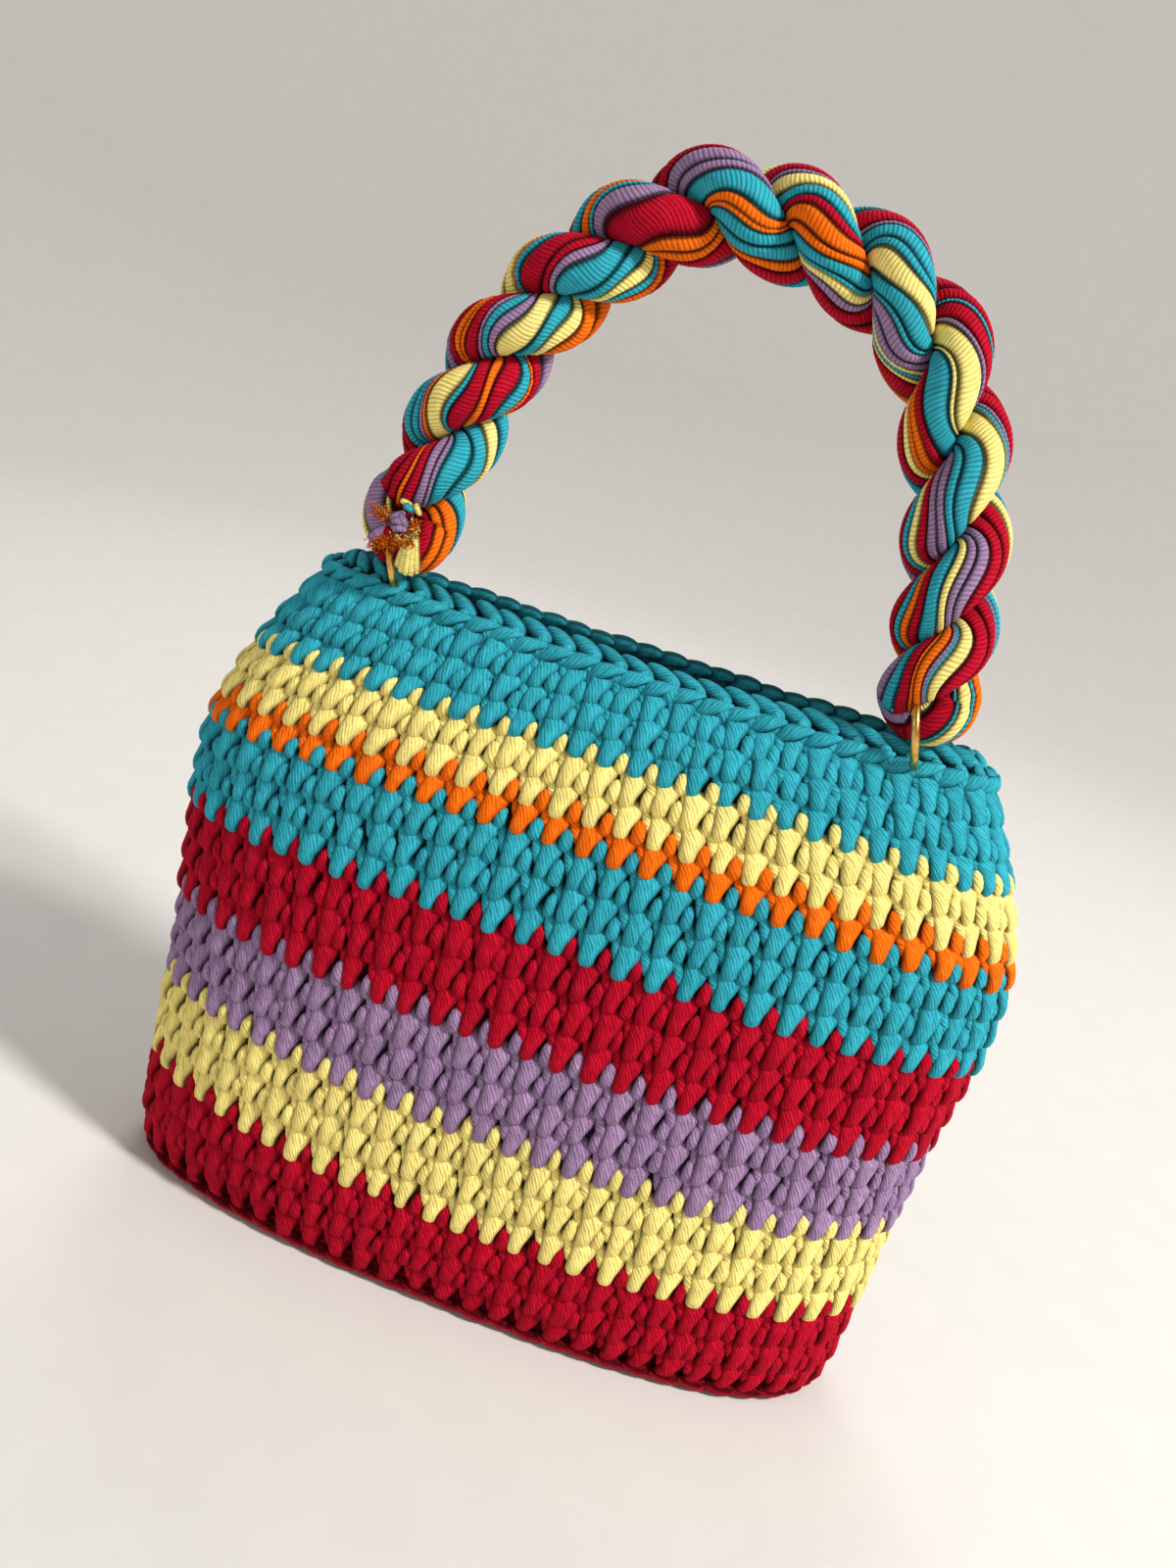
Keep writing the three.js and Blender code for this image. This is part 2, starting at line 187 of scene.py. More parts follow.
def sweep(points, normals, widths, depths, sides, tint, material=0, power=0.8):
    """Closed tubes that end in points. points and normals are (tubes, stations, 3), widths and
    depths are half sizes (tubes, stations) across and along the normals. A power below 1 makes
    the section squarer than an ellipse."""
    tubes = len(points)
    tangents = unit(np.gradient(points, axis=1))
    across = unit(np.cross(tangents, normals))
    outward = np.cross(across, tangents)
    angles = 2 * np.pi * np.arange(sides) / sides
    side = np.sign(np.cos(angles)) * np.abs(np.cos(angles)) ** power
    rise = np.sign(np.sin(angles)) * np.abs(np.sin(angles)) ** power
    body = slice(1, -1)
    rings = points[:, body, None] \
        + across[:, body, None] * (side[:, None] * widths[:, body, None, None]) \
        + outward[:, body, None] * (rise[:, None] * depths[:, body, None, None])
    count = rings.shape[1]
    verts = np.concatenate([rings.reshape(tubes, -1, 3), points[:, :1], points[:, -1:]], axis=1)
    size = verts.shape[1]
    i, j = [a.ravel() for a in np.meshgrid(np.arange(count - 1), np.arange(sides), indexing="ij")]
    k = (j + 1) % sides
    quads = np.stack([i * sides + j, (i + 1) * sides + j, (i + 1) * sides + k, i * sides + k], axis=-1)
    e = np.arange(sides)
    n = (e + 1) % sides
    last = (count - 1) * sides
    starts = np.stack([np.full(sides, size - 2), e, n], axis=-1)
    ends = np.stack([np.full(sides, size - 1), last + n, last + e], axis=-1)
    steps = np.linalg.norm(np.diff(points, axis=1), axis=-1)
    along = np.concatenate([np.zeros((tubes, 1)), np.cumsum(steps, axis=1)], axis=1)
    girth = 2 * np.pi * widths.mean(axis=1, keepdims=True) / sides
    shift = random.uniform(0, 1, (tubes, 1, 2))
    quad_u = along[:, np.stack([i + 1, i + 2, i + 2, i + 1], axis=-1).ravel()]
    quad_v = girth * np.stack([j, j, j + 1, j + 1], axis=-1).ravel()
    start_u = along[:, np.tile([0, 1, 1], sides)]
    end_u = along[:, np.tile([count + 1, count, count], sides)]
    start_v = girth * np.stack([e + 0.5, e, e + 1], axis=-1).ravel()
    end_v = girth * np.stack([e + 0.5, e + 1, e], axis=-1).ravel()
    # Painted shade: full light on a tube's top and underside, darker towards its sides, where it lies
    # low between its neighbours
    painted_shade_lift = np.concatenate([np.tile(np.abs(rise), count), [TIP_PAINTED_SHADE_LIFT, TIP_PAINTED_SHADE_LIFT]])
    base = (np.arange(tubes) * size)[:, None, None]
    tri_u = np.concatenate([start_u, end_u], axis=1)
    tri_v = np.concatenate([start_v, end_v], axis=1)
    return {
        "verts": verts.reshape(-1, 3),
        "quads": (quads[None] + base).reshape(-1, 4),
        "tris": (np.concatenate([starts, ends])[None] + base).reshape(-1, 3),
        "quad_uv": (np.stack([quad_u, quad_v], axis=-1) + shift).reshape(-1, 2),
        "tri_uv": (np.stack([tri_u, tri_v], axis=-1) + shift).reshape(-1, 2),
        "tint": np.repeat(tint, size),
        "painted_shade_lift": np.tile(painted_shade_lift, tubes),
        "material": material,
    }


def grid(points, uv):
    """A closed band of quads: points (rows, columns, 3), joined round its columns and its rows."""
    rows, columns = points.shape[:2]
    i, j = [a.ravel() for a in np.meshgrid(np.arange(rows), np.arange(columns), indexing="ij")]
    r = (i + 1) % rows
    c = (j + 1) % columns
    quads = np.stack([i * columns + j, i * columns + c, r * columns + c, r * columns + j], axis=-1)
    quad_uv = np.stack([uv[0] * np.stack([j, j + 1, j + 1, j], axis=-1),
                        uv[1] * np.stack([i, i, i + 1, i + 1], axis=-1)], axis=-1)
    return {
        "verts": points.reshape(-1, 3),
        "quads": quads,
        "tris": np.zeros((0, 3), int),
        "quad_uv": quad_uv.reshape(-1, 2),
        "tri_uv": np.zeros((0, 2)),
        "tint": np.full(rows * columns, 0.5),
        # Yarn on a band is painted in deep shade
        "painted_shade_lift": np.zeros(rows * columns),
        "material": 0,
    }


def make_piece(name, parts, materials, nodes):
    """One mesh object from swept parts, riding on the bag and standing for its solids."""
    offsets = np.cumsum([0] + [len(p["verts"]) for p in parts])
    quads = np.concatenate([p["quads"] + o for p, o in zip(parts, offsets)])
    tris = np.concatenate([p["tris"] + o for p, o in zip(parts, offsets)])
    verts = np.concatenate([p["verts"] for p in parts])
    uv = np.concatenate([p["quad_uv"] for p in parts] + [p["tri_uv"] for p in parts])
    slots = [np.broadcast_to(p["material"], len(p["quads"])) for p in parts]
    slots += [np.full(len(p["tris"]), np.max(p["material"])) for p in parts]
    mesh = bpy.data.meshes.new(name)
    mesh.vertices.add(len(verts))
    mesh.vertices.foreach_set("co", verts.astype(np.float32).ravel())
    mesh.loops.add(quads.size + tris.size)
    corners = np.concatenate([quads.ravel(), tris.ravel()])
    mesh.loops.foreach_set("vertex_index", corners.astype(np.int32))
    mesh.polygons.add(len(quads) + len(tris))
    starts = np.concatenate([np.arange(len(quads)) * 4, quads.size + np.arange(len(tris)) * 3])
    mesh.polygons.foreach_set("loop_start", starts.astype(np.int32))
    mesh.polygons.foreach_set("material_index", np.concatenate(slots).astype(np.int32))
    mesh.polygons.foreach_set("use_smooth", np.ones(len(starts), bool))
    mesh.update(calc_edges=True)
    layer = mesh.uv_layers.new(name="yarn")
    layer.data.foreach_set("uv", uv.astype(np.float32).ravel())
    for key in ("tint", "painted_shade_lift"):
        values = mesh.attributes.new(key, "FLOAT", "POINT")
        values.data.foreach_set("value", np.concatenate([p[key] for p in parts]).astype(np.float32))
    for material in materials:
        mesh.materials.append(material)
    mesh.validate()
    piece = bpy.data.objects.new(name, mesh)
    bpy.context.scene.collection.objects.link(piece)
    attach(piece, "root")
    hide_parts(*nodes)


# Materials

def linear(rgb):
    """An sRGB colour from 0 to 255 as the linear colour that shaders take."""
    shares = [value / 255 for value in rgb]
    return [s / 12.92 if s <= 0.04045 else ((s + 0.055) / 1.055) ** 2.4 for s in shares] + [1.0]


class Nodes:
    """Short helpers to wire one material."""

    def __init__(self, name):
        self.material = bpy.data.materials.new(name)
        self.material.use_nodes = True
        self.tree = self.material.node_tree
        self.shader = self.tree.nodes["Principled BSDF"]

    def add(self, kind, inputs=(), **settings):
        node = self.tree.nodes.new("ShaderNode" + kind)
        for key, value in settings.items():
            setattr(node, key, value)
        for key, value in dict(inputs).items():
            self.plug(node.inputs[key], value)
        return node

    def plug(self, socket, value):
        if isinstance(value, bpy.types.NodeSocket):
            self.tree.links.new(value, socket)
        else:
            socket.default_value = value

    def math(self, operation, first, second=0.0):
        return self.add("Math", {0: first, 1: second}, operation=operation).outputs[0]

    def mix(self, share, first, second):
        node = self.add("Mix", data_type="RGBA")
        self.plug(node.inputs[0], share)
        self.plug(node.inputs[6], first)
        self.plug(node.inputs[7], second)
        return node.outputs[2]

    def ramp(self, value, low, high):
        """0 to 1 as value goes from low to high, smoothly."""
        node = self.add("MapRange", {"Value": value, "From Min": low, "From Max": high},
                        interpolation_type="SMOOTHSTEP")
        return node.outputs[0]


# The length of one band of a wave texture at scale 1
WAVE_PERIOD = 0.314159


def yarn_material(name, colour, rib_turn, rib_period, rib_share, fleck_and_highlight, waver):
    """Matt jersey: uneven knitted ribs and streaks along them, with painted shade in their low parts
    and painted highlight on their tops, a light grain, and painted shade on the sides where a yarn
    lies low between its neighbours."""
    n = Nodes(name)
    uv = n.add("UVMap", uv_map="yarn").outputs[0]
    ribs_uv = n.add("Mapping", {"Vector": uv, "Rotation": (0, 0, rib_turn)}).outputs[0]
    ribs = n.add("TexWave", {"Vector": ribs_uv, "Scale": WAVE_PERIOD / rib_period, "Distortion": waver,
                             "Detail": 1.0, "Detail Scale": 0.8}).outputs["Fac"]
    stretched = n.add("Mapping", {"Vector": ribs_uv, "Scale": (1.0, 0.22, 1.0)}).outputs[0]
    streaks = n.add("TexNoise", {"Vector": stretched, "Scale": 0.9 / rib_period, "Detail": 3.0,
                                 "Roughness": 0.6}).outputs["Fac"]
    grain = n.add("TexNoise", {"Vector": uv, "Scale": 2600.0, "Detail": 2.0}).outputs["Fac"]
    blotches = n.add("TexNoise", {"Vector": uv, "Scale": 150.0, "Detail": 2.0}).outputs["Fac"]
    tint = n.add("Attribute", attribute_name="tint").outputs["Fac"]
    base = linear(colour)
    painted_rib_shade = [c * 0.60 for c in base[:3]] + [1.0]
    light = [min(c * 1.6 + 0.02, 1.0) for c in base[:3]] + [1.0]
    # Painted shade in the low parts of the ribs and streaks, painted highlight on their tops; the
    # grain adds light flecks of the yarn's own colour
    streak = n.ramp(streaks, 0.34, 0.66)
    relief = n.math("ADD", n.math("MULTIPLY", ribs, rib_share),
                    n.math("MULTIPLY", streak, 1 - rib_share))
    shade = n.mix(n.ramp(relief, 0.0, 0.62), painted_rib_shade, base)
    shade = n.mix(n.math("MULTIPLY", n.ramp(relief, 0.62, 1.0), fleck_and_highlight), shade, light)
    shade = n.mix(n.math("MULTIPLY", n.ramp(grain, 0.52, 0.70), fleck_and_highlight * 0.7), shade, light)
    value = n.math("ADD", 0.80, n.math("MULTIPLY", tint, 0.16))
    value = n.math("ADD", value, n.math("MULTIPLY", blotches, 0.14))
    value = n.math("ADD", value, n.math("MULTIPLY", grain, 0.14))
    # Painted shade: the colour darkens to 0.15 of its value where a surface lies low between its
    # neighbours
    painted_shade_lift = n.add("Attribute", attribute_name="painted_shade_lift").outputs["Fac"]
    shadow = n.math("ADD", 0.15, n.math("MULTIPLY", n.ramp(painted_shade_lift, 0.25, 1.0), 0.89))
    value = n.math("MULTIPLY", value, shadow)
    coloured = n.add("HueSaturation", {"Color": shade, "Value": value}).outputs[0]
    n.plug(n.shader.inputs["Base Color"], coloured)
    n.plug(n.shader.inputs["Roughness"], 0.88)
    n.plug(n.shader.inputs["Sheen Weight"], 0.12)
    n.plug(n.shader.inputs["Sheen Tint"], [min(c * 1.5, 1.0) for c in base[:3]] + [1.0])
    n.plug(n.shader.inputs["Sheen Roughness"], 0.5)
    n.plug(n.shader.inputs["Specular IOR Level"], 0.1)
    height = n.math("ADD", relief, n.math("MULTIPLY", grain, 0.5))
    bump = n.add("Bump", {"Height": height, "Strength": 0.6, "Distance": 0.0004}).outputs[0]
    n.plug(n.shader.inputs["Normal"], bump)
    return n.material


def brass_material():
    """Worn brass wire with fine scratches."""
    n = Nodes("ring_brass")
    place = n.add("TexCoord").outputs["Object"]
    cloud = n.add("TexNoise", {"Vector": place, "Scale": 260.0, "Detail": 4.0}).outputs["Fac"]
    scratch = n.add("TexNoise", {"Vector": place, "Scale": 1500.0, "Detail": 3.0}).outputs["Fac"]
    bright = linear((224, 178, 96))
    worn = linear((176, 128, 62))
    n.plug(n.shader.inputs["Base Color"], n.mix(n.ramp(cloud, 0.42, 0.7), bright, worn))
    n.plug(n.shader.inputs["Metallic"], 1.0)
    n.plug(n.shader.inputs["Roughness"], n.math("ADD", 0.16, n.math("MULTIPLY", cloud, 0.2)))
    bump = n.add("Bump", {"Height": scratch, "Strength": 0.15, "Distance": 0.0001}).outputs[0]
    n.plug(n.shader.inputs["Normal"], bump)
    return n.material


def floor_material():
    """Plain pale matt floor."""
    n = Nodes("pale_floor")
    place = n.add("TexCoord").outputs["Object"]
    grain = n.add("TexNoise", {"Vector": place, "Scale": 40.0, "Detail": 5.0}).outputs["Fac"]
    n.plug(n.shader.inputs["Base Color"],
           n.mix(grain, linear((212, 210, 206)), linear((219, 217, 213))))
    n.plug(n.shader.inputs["Roughness"], 0.9)
    return n.material


STITCH_RIB_TURN = math.radians(58)
YARNS = {name: yarn_material("yarn_" + name, rgb, STITCH_RIB_TURN, 0.0008, 0.5,
                             0.8 if name == "lilac" else 0.45, 1.4)
         for name, rgb in COLOURS.items()}


# Stitches

# Each arm of a stitch, from end to end. Columns: u in stitches, v in rows and w in pitches out of
# the fabric, then the half width and half depth in pitches.
FRONT_ARM = np.array([
    [0.00, -0.10, 0.14, 0.14, 0.13],
    [-0.01, 0.14, 0.27, 0.24, 0.24],
    [0.00, 0.40, 0.29, 0.275, 0.26],
    [0.06, 0.68, 0.24, 0.345, 0.24],
    [0.09, 0.95, 0.18, 0.41, 0.21],
    [0.11, 1.20, -0.08, 0.32, 0.15],
])
BACK_ARM = np.array([
    [-0.14, 0.28, 0.14, 0.12, 0.13],
    [-0.22, 0.48, 0.20, 0.165, 0.18],
    [-0.30, 0.69, 0.20, 0.18, 0.20],
    [-0.38, 0.89, 0.16, 0.17, 0.19],
    [-0.46, 1.09, 0.11, 0.15, 0.16],
    [-0.52, 1.28, -0.04, 0.10, 0.12],
])
BEAN = np.array([
    [0.46, 0.95, 0.08, 0.14, 0.15],
    [0.45, 1.12, 0.24, 0.215, 0.20],
    [0.44, 1.32, 0.28, 0.225, 0.21],
    [0.44, 1.51, 0.25, 0.205, 0.19],
    [0.45, 1.72, 0.14, 0.12, 0.15],
])
INNER_BAR = np.array([
    [-0.52, 0.72, -0.24, 0.15, 0.12],
    [-0.20, 0.78, -0.20, 0.22, 0.17],
    [0.20, 0.78, -0.20, 0.22, 0.17],
    [0.52, 0.72, -0.24, 0.15, 0.12],
])
INNER_STUB = np.array([
    [-0.42, 0.30, -0.22, 0.12, 0.10],
    [0.00, 0.24, -0.16, 0.20, 0.15],
    [0.42, 0.30, -0.22, 0.12, 0.10],
])


def rounded_samples(count):
    """Samples from 0 to 1 that crowd towards both ends."""
    even = np.linspace(0, 1, count)
    return 0.35 * even + 0.65 * (1 - np.cos(np.pi * even)) / 2


def end_caps(samples, first, last):
    """How full a tube is at each sample: round ends that take a share of its length."""
    start = np.clip(samples / first, 0, 1)
    end = np.clip((1 - samples) / last, 0, 1)
    return np.sqrt(1 - (1 - start) ** 2) * np.sqrt(1 - (1 - end) ** 2)


def arm_shape(pattern, count, caps):
    """The columns of an arm's table along its length, with its ends rounded."""
    samples = rounded_samples(count)
    values = spline_weights(len(pattern), samples) @ pattern
    values[:, 3:] *= end_caps(samples, *caps)[:, None]
    return values


# How much the arms of stitches vary in thickness
SWELL = 0.06


def arms(pattern, columns, rows, count, sides, caps, wobble=0.03):
    """The same arm in every stitch, each a little different, swept in fabric coordinates."""
    values = arm_shape(pattern, count, caps)
    number = len(columns)
    lean = random.normal(0, wobble, (number, 1))
    u = columns[:, None] + values[:, 0] + random.normal(0, wobble, (number, 1))
    u = u + lean * (values[:, 1] - 0.5)
    v = rows[:, None] + values[:, 1] + random.normal(0, wobble, (number, 1))
    w = values[:, 2] + random.normal(0, wobble * 0.6, (number, 1))
    points, normals = fabric(u, v, w)
    fatness = 1 + random.normal(0, SWELL, (number, 1))
    return sweep(points, normals, values[:, 3] * PITCH * fatness, values[:, 4] * PITCH * fatness,
                 sides, random.uniform(0, 1, number))


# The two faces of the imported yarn, in pitches out of the fabric's middle
CORE_OUTSIDE = 0.04
CORE_INSIDE = -0.18


def wall_core(first, rows):
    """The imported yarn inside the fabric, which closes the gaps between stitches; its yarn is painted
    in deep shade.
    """
    turns = np.arange(2 * STITCHES) / (2 * STITCHES)
    last = first + rows + (0.5 if first + rows == ROWS else 0.05)
    levels = np.linspace(first + 0.05, last, 4 * rows + 1)
    layers = []
    for w, order in ((CORE_OUTSIDE, levels), (CORE_INSIDE, levels[::-1])):
        u, v = np.meshgrid(turns * STITCHES, order)
        layers.append(fabric(u, v, np.full(u.shape, w))[0])
    return grid(np.concatenate(layers), (0.005, 0.003))


def stitch_columns(row):
    """Where the stitches of a row stand: each round leans a little to the left of the one below."""
    return np.arange(STITCHES) + np.interp(row, COLUMN_ROWS, COLUMN_SHIFTS)


for stripe_name, colour, first_row, row_count in STRIPES:
    row_numbers = np.arange(first_row, first_row + row_count)
    columns = np.concatenate([stitch_columns(row) for row in row_numbers])
    rows = np.repeat(row_numbers, STITCHES).astype(float)
    stitch_parts = [
        arms(FRONT_ARM, columns, rows, 12, 12, (0.20, 0.12)),
        arms(BACK_ARM, columns, rows, 8, 9, (0.16, 0.12)),
        arms(BEAN, columns, rows, 9, 8, (0.24, 0.24)),
        arms(INNER_BAR, columns, rows, 5, 6, (0.2, 0.2)),
        arms(INNER_STUB, columns, rows, 5, 6, (0.2, 0.2)),
        wall_core(first_row, row_count),
    ]
    make_piece(stripe_name.replace("stripe_", "stitches_"), stitch_parts, [YARNS[colour]],
               [stripe_name])


# The chain round the mouth

# The two legs of each loop of the chain, in the columns of the stitches' arms
FRONT_LEG = np.array([
    [-0.55, 0.12, -0.02, 0.16, 0.14],
    [-0.30, 0.16, 0.18, 0.26, 0.20],
    [0.00, 0.22, 0.33, 0.28, 0.21],
    [0.32, 0.31, 0.41, 0.22, 0.17],
    [0.60, 0.40, 0.43, 0.14, 0.12],
    [0.88, 0.48, 0.40, 0.05, 0.06],
])
BACK_LEG = np.array([
    [-0.66, 0.98, -0.34, 0.10, 0.10],
    [-0.36, 0.95, -0.24, 0.18, 0.17],
    [-0.04, 0.88, -0.13, 0.23, 0.21],
    [0.28, 0.78, -0.04, 0.24, 0.22],
    [0.55, 0.68, 0.03, 0.21, 0.20],
    [0.78, 0.59, 0.05, 0.13, 0.13],
])
chain_columns = stitch_columns(ROWS)
chain_rows = np.full(STITCHES, float(ROWS))
chain_parts = [
    arms(FRONT_LEG, chain_columns, chain_rows, 12, 10, (0.12, 0.12), wobble=0.025),
    arms(BACK_LEG, chain_columns, chain_rows, 12, 10, (0.12, 0.12), wobble=0.025),
]
make_piece("rim_loops", chain_parts, [YARNS["turquoise"]], ["rim_chain"])


# The base

BASE_HALF_WIDTH = 0.1300
BASE_HALF_DEPTH = 0.0400
BASE_ROW = 0.0092
# Heights of the middle of the outer and the inner stitches, and how high one pitch of relief is
BASE_UNDERSIDE = 0.0043
BASE_INSIDE = 0.0045
BASE_RELIEF = 0.0082
# The rounds of the base: how far each lies inside the edge, and its number of stitches
BASE_ROUNDS = ((0.001, 54), (0.0095, 48), (0.018, 42), (0.0265, 36))
# The slab between the outer and the inner stitches: how far inside the edge, and how high
BASE_SLAB = ((0.0395, 0.0035), (0.002, 0.0035), (0.002, 0.0058), (0.0395, 0.0058))
BASE_SLAB_COLUMNS = 96
# The cord of stitches round the base's edge, in the columns of the stitches' arms
EDGE_CORD = np.array([
    [-0.55, 0.20, 0.42, 0.10, 0.10],
    [-0.20, 0.14, 0.50, 0.15, 0.14],
    [0.35, 0.10, 0.50, 0.15, 0.14],
    [0.80, 0.04, 0.44, 0.09, 0.09],
])


def base_place(turn, inset, z):
    """Points of the base's oval, inset from its edge."""
    x, y = oval(turn)
    return np.stack([x * (BASE_HALF_WIDTH - inset), y * (BASE_HALF_DEPTH - inset), z], axis=-1)


def base_arms(pattern, count, sides, caps, number, inset, faces_down):
    """The same arm in every stitch of a round of the base, on its underside or its inside."""
    values = arm_shape(pattern, count, caps)
    u = np.arange(number)[:, None] + values[:, 0] + random.normal(0, 0.03, (number, 1))
    depth = inset + (1 - values[:, 1]) * BASE_ROW + np.zeros_like(u)
    relief = values[:, 2] * BASE_RELIEF + np.zeros_like(u)
    z = BASE_UNDERSIDE - relief if faces_down else BASE_INSIDE + relief
    points = base_place(u / number, depth, z)
    normals = np.zeros_like(points)
    normals[..., 2] = -1 if faces_down else 1
    even = np.ones((number, 1))
    return sweep(points, normals, values[:, 3] * PITCH * even, values[:, 4] * BASE_RELIEF * even,
                 sides, random.uniform(0, 1, number))


base_parts = []
for base_inset, base_count in BASE_ROUNDS:
    base_parts += [
        base_arms(FRONT_ARM, 9, 8, (0.20, 0.12), base_count, base_inset, True),
        base_arms(BACK_ARM, 7, 6, (0.16, 0.12), base_count, base_inset, True),
        base_arms(INNER_BAR * [1, 1, -0.4, 1, 1], 6, 6, (0.2, 0.2), base_count, base_inset, False),
    ]
slab_turns = np.arange(BASE_SLAB_COLUMNS) / BASE_SLAB_COLUMNS
slab = [base_place(slab_turns, inset, np.full(BASE_SLAB_COLUMNS, z)) for inset, z in BASE_SLAB]
base_parts.append(grid(np.stack(slab), (0.006, 0.01)))
base_parts.append(arms(EDGE_CORD, np.arange(STITCHES) * 1.0, np.zeros(STITCHES), 8, 8, (0.15, 0.15),
                       wobble=0.01))
make_piece("base_stitches", base_parts, [YARNS["red"]], ["base_panel"])


# The handle

# The arch's span, its rise over the rim, and where its feet are
HANDLE_SPAN = 0.174
HANDLE_RISE = 0.131
HANDLE_Y = -0.0077
HANDLE_FOOT = 0.2490
# The strands: their radius, how far they lie from the rope's middle, and the folds at the feet
STRAND_RADIUS = 0.0079
LAY_RADIUS = 0.0080
FOLD_DEPTH = 0.008
FOLD_SWAY = 0.003
# Half the gap between the two ends of the yarns, where they are sewn below the left foot
SEWN_GAP = 0.0003
# Across the bag, square to the arch of the handle
ACROSS = np.array([0.0, 1.0, 0.0])
LINE_STATIONS = 301
DENSE_STATIONS = 4000
STRAND_COLUMNS = 96
# The arch: places across in shares of half the span, and up in shares of the rise
HANDLE_SIDES = np.array([-1, -.985, -.925, -.850, -.745, -.605, -.425, -.220, .010, .230, .435, .600,
                         .725, .805, .865, .915, .960])
HANDLE_RISES = np.array([0, .110, .280, .450, .605, .750, .890, .990, 1, .960, .870, .755, .610, .470,
                         .325, .160, 0])
# The lay: half turns from the left foot to the right one, and a polynomial for how it drifts
LAY_HALF_TURNS = 12
LAY_DRIFT = (-3.96, 18.67, -35.86, 36.39, -18.79)
# How far the handle's line stands outwards of the even arch, at shares of its length
SWAY_SHARES = np.array([0, .05, .10, .20, .30, .42, .48, .53, .58, .67, .75, .85, .93, 1])
SWAY = np.array([0, 0, 0, .0014, .0020, .0014, -.0004, -.0010, .0008, .0040, .0020, .0018, .0018, 0])
SWAY_BLUR = 17
# Turns of the yarns back against the lay for each turn of it, at shares of the handle's length
COUNTER_SHARES = np.array([0, .10, .20, .28, .35, .43, .50, .58, .65, .72, .80, .90, 1])
COUNTER_TURNS = np.array([1.5, 1.8, 1.93, 1.93, 1.6, 1.3, 1.32, 1.32, 1.55, 1.3, 1.10, .95, .95])
# Stations at a strand's end over which its rate of turning is measured, to carry it on
END_STATIONS = 9

# How fat a strand is where it folds, and the share of the handle's length over which the
# flattening that the lay gives it fades out there
FOLD_FULLNESS = 0.88
FLATTENING = 0.0005
FLATTENING_FADE = 0.03
# Grooves between yarns: their depth at most, and as a share of a yarn's breadth
GROOVE_DEPTH = 0.0013
GROOVE_SHARE = 0.015
# Where the left end's outer yarns start, along the handle, and how narrow the strand is there
SEAM_SHARE = 0.036
SEAM_WIDTH = 0.006
SEAM_DEPTH = 0.16
# Length of the round end of a strand
END_ROUND = 0.005

# The yarns across each half turn of the rope that shows in front, from its outer end to its inner
# end: a letter for each share of the width, and a new yarn wherever the letter changes or | stands
FRONT_TURNS = [
    "tyylltrrr|rrorrll|ltttt|tttty",
    "rtttt|ttloyyyyytrrrroorrrrtttor",
    "lrrr|oo|orrrltt|llyyyyytttyyyooo",
    "yyyottrrrrrr|rrlltttttt|tttyyytto",
    "toot|lllrrrrrrr|oo|oorr",
    "rrllll|llttttt|oo|ottt|tttoorr",
    "rrlyyyyttt|rroooo|oottt|tyyllrrrr",
    "rrrltttt|ttyyyyy|tttt|tlll|llytyrr",
    "rrtrrrr|lyyyyyy|yttttttrr|oo|oyyrr",
    "rrltyyyyyytttt|ttll|llrryyttr",
    "yrrrr|rrrrlll|llyytttt|rroottrr",
    "tlrrrr|rrrrrryyyytlooo|orrrrttttlll",
]
BACK_TURNS = ["rrr|ryyttllo|orrrr", "ttt|yyrrr|rllooottt", "ooo|rrrttyy|ylllrr", "llltt|ttyyrrr|ooyy"]
LEFT_END = "yllllllllyrrrrrrrrrrrrrrrr"
LEFT_INNER_END = "yyyyyyyyyyyyyyyyyyyyyyrrrr|rrrrooo|oo"
LEFT_HIDDEN_END = "tttyrrrrrlllttt|yyyoorr"
RIGHT_END = "ootyyyytrrrrrrr|rrrrrrrrrrrrrrrr"
LETTERS = {"r": 0, "o": 1, "y": 2, "t": 3, "l": 4}
# More yarns than any half turn has, more half turns than any strand has, and more numbers than
# all the yarns take
MOST_YARNS = 40
MOST_TURNS = 20
YARN_NUMBERS = 2000
# Share of a half turn that the letters cover, and what is left at each side of it
TURN_WIDTH = 0.86
TURN_GAP = 0.07


def smooth_line(points, count):
    """Points at even lengths along a smooth curve through the given ones."""
    knots = np.concatenate([[0], np.cumsum(np.sqrt(np.linalg.norm(np.diff(points, axis=0), axis=1)))])
    slopes = np.gradient(points, knots, axis=0)
    t = np.linspace(0, knots[-1], DENSE_STATIONS)
    i = np.clip(np.searchsorted(knots, t, side="right") - 1, 0, len(knots) - 2)
    h = (knots[i + 1] - knots[i])[:, None]
    f = (t[:, None] - knots[i][:, None]) / h
    dense = (2 * f ** 3 - 3 * f ** 2 + 1) * points[i] + (f ** 3 - 2 * f ** 2 + f) * h * slopes[i] \
        + (3 * f ** 2 - 2 * f ** 3) * points[i + 1] + (f ** 3 - f ** 2) * h * slopes[i + 1]
    lengths = np.concatenate([[0], np.cumsum(np.linalg.norm(np.diff(dense, axis=0), axis=1))])
    even = np.linspace(0, lengths[-1], count)
    return np.stack([np.interp(even, lengths, dense[:, axis]) for axis in range(3)], axis=-1)


def turn_layout(letters):
    """Edges of the yarns across one turn, and the colour of each. The outer two reach past 0 and 1
    to the middle of the groove, where the half turn ends."""
    edges = [-TURN_GAP / TURN_WIDTH]
    colours = []
    width = len(letters.replace("|", ""))
    seen = 0
    last = None
    for letter in letters:
        if letter == "|":
            last = None
            continue
        if letter != last and seen:
            edges.append(seen / width)
        if letter != last:
            colours.append(LETTERS[letter])
        last = letter
        seen += 1
    edges.append(1 + TURN_GAP / TURN_WIDTH)
    return np.array(edges), np.array(colours)


